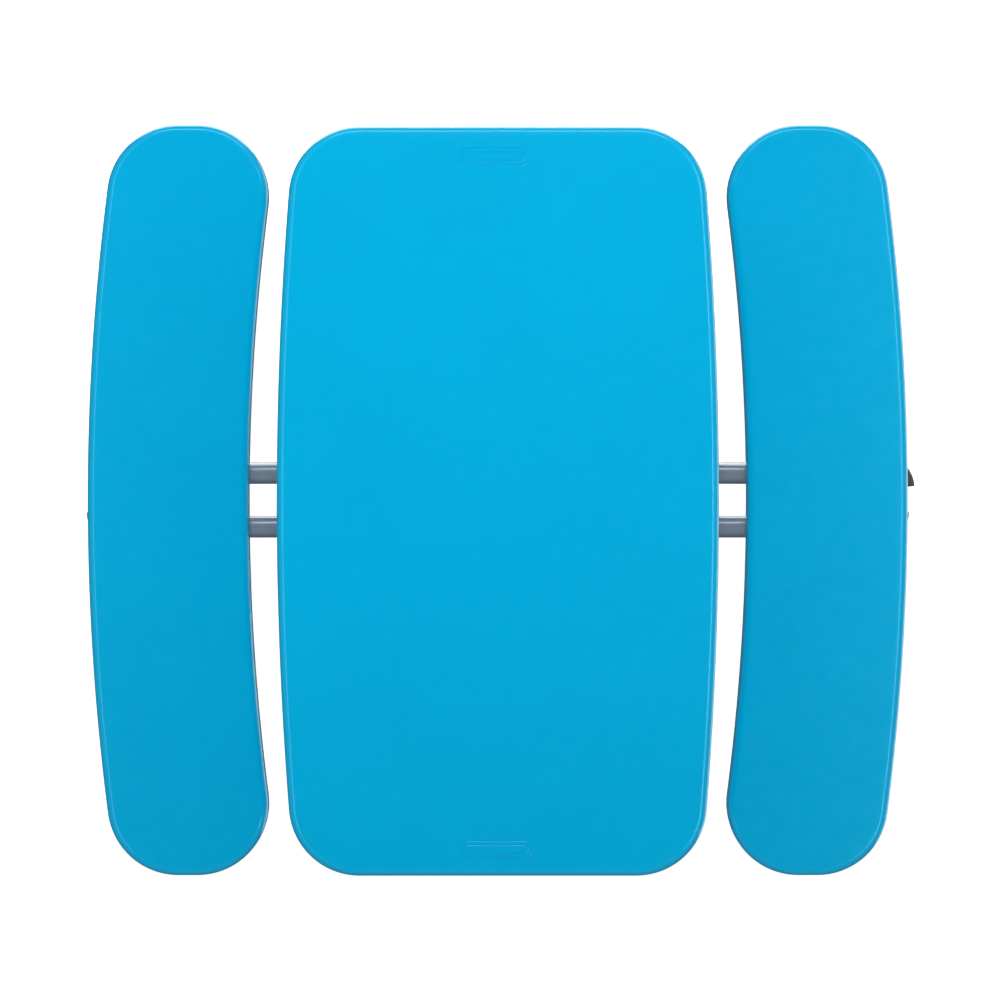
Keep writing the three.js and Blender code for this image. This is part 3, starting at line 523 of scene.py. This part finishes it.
# ---------- welds ----------
def weld_bead(side, end):
    """The bead where a hoop's upright meets its pivot tube, along the curve where the two tubes cross."""
    top = Vector((side * LEG_TOP.x, end * LEG_HALF_WIDTH, LEG_TOP.z))
    down = Vector((side * (LEG_FOOT.x - LEG_TOP.x), 0, LEG_FOOT.z - LEG_TOP.z)).normalized()
    across = Vector((-down.z, 0, down.x))
    along = Vector((0, 1, 0))
    rim = TUBE + WELD_STANDOFF
    points = []
    for i in range(WELD_STATIONS):
        turn = 2 * math.pi * i / WELD_STATIONS
        drop = TUBE * abs(math.sin(turn)) ** 0.9 + WELD_DROP
        around = across * (rim * math.cos(turn)) + along * (rim * math.sin(turn))
        points.append(top + around + down * drop)
    bm = bmesh.new()
    add_sweep(bm, points, lambda i: WELD_RADIUS + WELD_RIPPLE * math.sin(i * WELD_RIPPLE_STEP), closed=True)
    return new_object(f"weld_{'right' if side > 0 else 'left'}_{'rear' if end > 0 else 'front'}", bm)


for side, leg_body in ((1, "right_leg_frame"), (-1, "left_leg_frame")):
    for end in (1, -1):
        bead = weld_bead(side, end)
        soften(bead, 60)
        add_piece(bead, "grey_steel", leg_body)


# ---------- screws ----------
def plus_sign(reach, half):
    """The corners of a plus sign, counter-clockwise."""
    points = [(reach, -half), (reach, half), (half, half)]
    for _ in range(3):
        points += [(-y, x) for x, y in points[-3:]]
    return points


def cross_cutter(place):
    """A cutter for a cross recess that narrows as it goes up into a screw's head."""
    bm = bmesh.new()
    rings = []
    for reach, half, z in ((0.0026, 0.0005, -0.0040), (0.0021, 0.0004, -0.0012)):
        corners = [Vector((x, y, z)) for x, y in plus_sign(reach, half)]
        rings.append([bm.verts.new(place @ corner) for corner in corners])
    mouth, recess_floor = rings
    bridge(bm, mouth, recess_floor)
    bm.faces.new(mouth)
    bm.faces.new(reversed(recess_floor))
    return new_object("cross_cutter", bm)


def screw(name, body):
    """A pan-head screw with a cross recess, in place of the plain one."""
    low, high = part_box(name)
    x, y = (low[0] + high[0]) / 2, (low[1] + high[1]) / 2
    seat = low[2] + SCREW_HEAD
    length = high[2] - seat
    place = Matrix.Translation((x, y, seat))
    shank_radius, tip_radius, tip_length = 0.0025, 0.0006, 0.003
    pan = [
        (0.0012, -SCREW_HEAD),
        (0.0026, -0.00245),
        (0.0040, -0.0020),
        (0.0050, -0.0011),
        (0.0054, -0.0004),
        (0.0055, 0.0),
    ]
    shank = [(shank_radius, 0.0), (shank_radius, length - tip_length), (tip_radius, length)]
    bm = bmesh.new()
    add_turned(bm, pan + shank, place, SCREW_SIDES)
    made = new_object(f"{name}_head", bm)
    carve(made, cross_cutter(place))
    soften(made, 35)
    add_piece(made, "zinc_steel", body, name)


for number in (1, 2):
    screw(f"left_bench_screw_{number}", "base")
    screw(f"right_bench_screw_{number}", "base")
for number in (1, 2, 3, 4):
    screw(f"table_screw_{number}", "top")


# ---------- spring ----------
def lock_spring():
    """The torsion spring wound round the lock bar."""
    low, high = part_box("lock_spring")
    x, z = (low[0] + high[0]) / 2, (low[2] + high[2]) / 2
    margin = SPRING_WIRE + SPRING_CLEARANCE
    start = low[1] + margin
    pitch = (high[1] - low[1] - 2 * margin) / SPRING_TURNS
    points = []
    for i in range(SPRING_TURNS * SPRING_STEPS + 1):
        turn = 2 * math.pi * i / SPRING_STEPS
        across, up = SPRING_COIL * math.cos(turn), SPRING_COIL * math.sin(turn)
        points.append((x + across, start + pitch * i / SPRING_STEPS, z + up))
    bm = bmesh.new()
    add_sweep(bm, points, SPRING_WIRE)
    made = new_object("lock_spring_wire", bm)
    soften(made, 60)
    add_piece(made, "zinc_steel", "base", "lock_spring")


lock_spring()

# ---------- the frame's own solids ----------
ROUNDING = {"grey_steel": 0.0005, "black_plastic": 0.0006, "zinc_steel": 0.0003}
JOIN_DISTANCE = 0.000002
FLAT_ANGLE = math.radians(0.6)
SHARP_ANGLE = math.radians(50)


def round_edges(node, width):
    """Joins a solid's triangles, rounds its sharp edges and shades the rest smooth, by modifiers only."""
    node.data.shade_smooth()
    joined = node.modifiers.new("joined_triangles", "WELD")
    joined.merge_threshold = JOIN_DISTANCE
    flat = node.modifiers.new("flat_faces", "DECIMATE")
    flat.decimate_type = "DISSOLVE"
    flat.angle_limit = FLAT_ANGLE
    rounded = node.modifiers.new("rounded_edges", "BEVEL")
    rounded.width = width
    rounded.segments = 2
    rounded.limit_method = "ANGLE"
    rounded.angle_limit = SHARP_ANGLE
    split = node.modifiers.new("sharp_edges", "EDGE_SPLIT")
    split.split_angle = SHARP_ANGLE
    node.modifiers.new("normals", "WEIGHTED_NORMAL")


for node_name, node in frame["nodes"].items():
    slot_name = SLOT_OF[node_name]
    if slot_name == "blue_hdpe" or node_name.startswith(SCREW_NAMES):
        continue
    dress(node, MATERIALS[slot_name])
    round_edges(node, ROUNDING[slot_name])


# ---------- floor, light and camera ----------
AIM = Vector((0.0, 0.0, 0.4))
FLOOR_HALF_SIZE = 60
FLOOR_GLOW = 0.72  # lifts the floor to white without lighting the table


def floor():
    """A pale floor that reaches past every view. It is left out of reflections and bounced light."""
    bm = bmesh.new()
    bmesh.ops.create_grid(bm, x_segments=1, y_segments=1, size=FLOOR_HALF_SIZE)
    made = new_object("floor", bm)
    s = Shader("pale_floor")
    tone = s.spread(s.noise(3, detail=2), 0, 1)
    colour = s.mix(tone, (0.90, 0.90, 0.90), (0.92, 0.92, 0.92))
    rough = s.spread(s.noise(5, detail=2), 0.85, 0.95)
    s.bsdf.inputs["Emission Color"].default_value = (1, 1, 1, 1)
    s.bsdf.inputs["Emission Strength"].default_value = FLOOR_GLOW
    dress(made, s.finish(colour, rough, s.bump(s.noise(200), 0.0001, 0.2), specular=0.1))
    made.visible_diffuse = False
    made.visible_glossy = False


def light(name, kind, place, energy, glossy, diffuse, target=AIM):
    """An unseen light that points at the target. It may be left out of reflections or of diffuse light."""
    data = bpy.data.lights.new(name, kind)
    data.energy = energy
    made = bpy.data.objects.new(name, data)
    bpy.context.collection.objects.link(made)
    made.visible_glossy = glossy
    made.visible_diffuse = diffuse
    made.visible_camera = False
    made.location = place
    made.rotation_euler = (target - Vector(place)).to_track_quat("-Z", "Y").to_euler()
    return data


def soft_box(name, place, size, radiance):
    """A rectangle of light, across by up as seen from the table, that only shows in reflections."""
    power = radiance * math.pi * size[0] * size[1]
    data = light(name, "AREA", place, power, glossy=True, diffuse=False)
    data.shape = "RECTANGLE"
    data.size, data.size_y = size


def surroundings(levels):
    """A plain room of (height, brightness) levels, from -1, straight down, to 1, straight up."""
    world = bpy.data.worlds.new("studio")
    world.use_nodes = True
    nodes, links = world.node_tree.nodes, world.node_tree.links
    split = nodes.new("ShaderNodeSeparateXYZ")
    links.new(nodes.new("ShaderNodeTexCoord").outputs["Generated"], split.inputs["Vector"])
    height = nodes.new("ShaderNodeMapRange")
    height.inputs["From Min"].default_value = -1.0
    links.new(split.outputs["Z"], height.inputs["Value"])
    ramp = nodes.new("ShaderNodeValToRGB")
    stops = ramp.color_ramp.elements
    while len(stops) < len(levels):
        stops.new(0.5)
    for stop, (place, level) in zip(stops, levels):
        stop.position = (place + 1) / 2
        stop.color = (level, level, level, 1.0)
    links.new(height.outputs["Result"], ramp.inputs["Fac"])
    links.new(ramp.outputs["Color"], nodes["Background"].inputs["Color"])
    bpy.context.scene.world = world


def overhead_light():
    """The lamp that lights the table: a wide soft spot, behind the middle and pointing down."""
    place, ground = (0.0, 1.3, 6.4), Vector((0.0, 1.3, 0.0))
    spot = light("overhead", "SPOT", place, energy=1080, glossy=False, diffuse=True, target=ground)
    spot.spot_size = math.radians(52)
    spot.spot_blend = 1.0
    spot.shadow_soft_size = 0.5


def camera():
    """A long lens straight above the table, leaning less than half a degree off the vertical."""
    data = bpy.data.cameras.new("camera")
    data.sensor_width = 36
    data.lens = 154.3
    made = bpy.data.objects.new("camera", data)
    bpy.context.collection.objects.link(made)
    made.location = (-0.0009, 0.0242, 5.0)
    made.rotation_euler = (-0.0051, -0.0007, 0.0)
    bpy.context.scene.camera = made


floor()
# A dark patch straight above keeps glare off the flat tops, and a dark ground keeps the tubes' sides dark.
surroundings([(-0.12, 0.14), (0.04, 0.50), (0.91, 0.42), (1.0, 0.03)])
overhead_light()
# The boxes draw bright lines along the rims and tubes. The walls, below the horizon, show in the edges.
soft_box("right_box", (1.55, 0.0, 3.9), (3.0, 0.55), 8.0)
soft_box("left_box", (-1.70, 0.0, 3.7), (3.0, 0.8), 3.0)
soft_box("rear_box", (0.0, 2.8, 2.85), (3.0, 0.80), 6.0)
soft_box("right_wall", (3.2, 0.2, -1.3), (5.0, 3.2), 3.6)
soft_box("rear_wall", (0.0, 3.2, -1.5), (5.0, 3.6), 5.5)
camera()
bpy.context.scene.view_settings.view_transform = "Standard"
